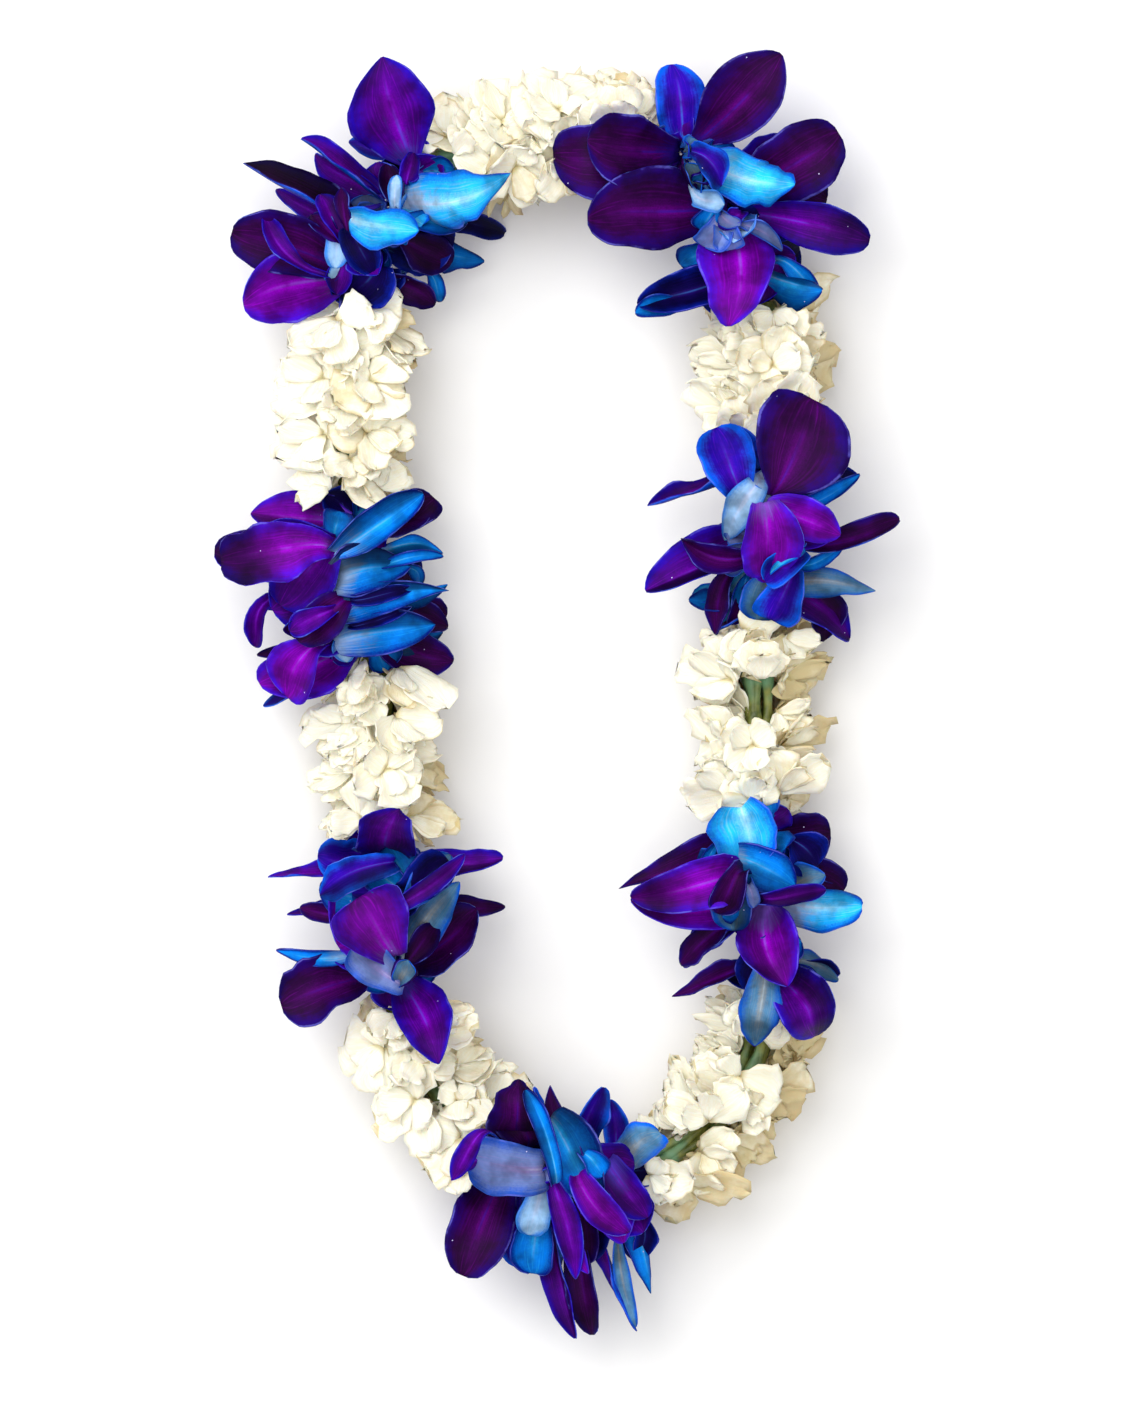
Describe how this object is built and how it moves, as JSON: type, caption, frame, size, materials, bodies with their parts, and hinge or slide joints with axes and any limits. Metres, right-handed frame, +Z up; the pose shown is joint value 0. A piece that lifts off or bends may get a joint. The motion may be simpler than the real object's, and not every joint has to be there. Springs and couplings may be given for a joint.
{
  "type": "flower garland",
  "caption": "Closed flower garland lying flat: purple and blue orchid clusters alternate with white blossom runs on a string.",
  "frame": {"origin": "middle of the bounding box in plan, on the surface that the garland lies on", "axes": "+Z up off the surface, +Y along the loop's long side towards the pair of face-on orchids, +X to the right as seen from above"},
  "size_m": [0.246, 0.4634, 0.0742],
  "materials": {
    "string": "twisted cotton thread",
    "stems": "waxy green flower tubes",
    "white_petals": "waxy ivory petals, satin",
    "orchid_petals": "satin petals, violet faces and blue backs"
  },
  "bodies": {
    "root": {"orchid_bottom_1": "orchid_petals", "orchid_bottom_2": "orchid_petals", "orchid_bottom_3": "orchid_petals", "orchid_bottom_4": "orchid_petals", "orchid_left_lower_1": "orchid_petals", "orchid_left_lower_2": "orchid_petals", "orchid_left_lower_3": "orchid_petals", "orchid_left_upper_1": "orchid_petals", "orchid_left_upper_2": "orchid_petals", "orchid_left_upper_3": "orchid_petals", "orchid_left_upper_4": "orchid_petals", "orchid_right_lower_1": "orchid_petals", "orchid_right_lower_2": "orchid_petals", "orchid_right_lower_3": "orchid_petals", "orchid_right_upper_1": "orchid_petals", "orchid_right_upper_2": "orchid_petals", "orchid_right_upper_3": "orchid_petals", "orchid_top_left_1": "orchid_petals", "orchid_top_left_2": "orchid_petals", "orchid_top_left_3": "orchid_petals", "orchid_top_left_4": "orchid_petals", "orchid_top_right_1": "orchid_petals", "orchid_top_right_2": "orchid_petals", "orchid_top_right_3": "orchid_petals", "stems_left_lower": "stems", "stems_left_middle": "stems", "stems_left_upper": "stems", "stems_right_lower": "stems", "stems_right_middle": "stems", "stems_right_upper": "stems", "stems_top": "stems", "string": "string", "white_left_lower_1": "white_petals", "white_left_lower_2": "white_petals", "white_left_lower_3": "white_petals", "white_left_middle_1": "white_petals", "white_left_middle_2": "white_petals", "white_left_middle_3": "white_petals", "white_left_middle_4": "white_petals", "white_left_upper_1": "white_petals", "white_left_upper_2": "white_petals", "white_left_upper_3": "white_petals", "white_left_upper_4": "white_petals", "white_right_lower_1": "white_petals", "white_right_lower_2": "white_petals", "white_right_lower_3": "white_petals", "white_right_lower_4": "white_petals", "white_right_middle_1": "white_petals", "white_right_middle_2": "white_petals", "white_right_middle_3": "white_petals", "white_right_middle_4": "white_petals", "white_right_upper_1": "white_petals", "white_right_upper_2": "white_petals", "white_right_upper_3": "white_petals", "white_top_1": "white_petals", "white_top_2": "white_petals", "white_top_3": "white_petals", "white_top_4": "white_petals"}
  },
  "joints": []
}
